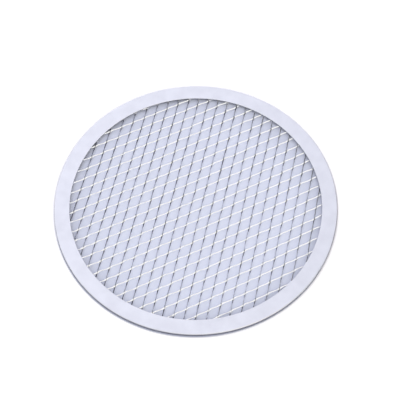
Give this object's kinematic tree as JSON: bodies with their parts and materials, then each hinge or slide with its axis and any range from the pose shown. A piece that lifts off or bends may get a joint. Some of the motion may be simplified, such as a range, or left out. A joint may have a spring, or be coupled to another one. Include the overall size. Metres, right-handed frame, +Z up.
{
  "type": "pizza screen",
  "caption": "Round flat baking screen: a disc of raised expanded aluminium mesh clamped in a folded sheet rim, so heat and air reach the base of a pizza.",
  "frame": {"origin": "centre of the underside, on the surface that the screen rests on", "axes": "+Z up through the screen, +X along the long way of the mesh's diamonds"},
  "size_m": [0.1524, 0.1524, 0.002],
  "materials": {
    "rim_aluminium": "satin mill finish, fine rolling grain",
    "mesh_aluminium": "bright slit and stretched sheet"
  },
  "bodies": {
    "root": {"rim": "rim_aluminium", "mesh": "mesh_aluminium"}
  },
  "joints": []
}
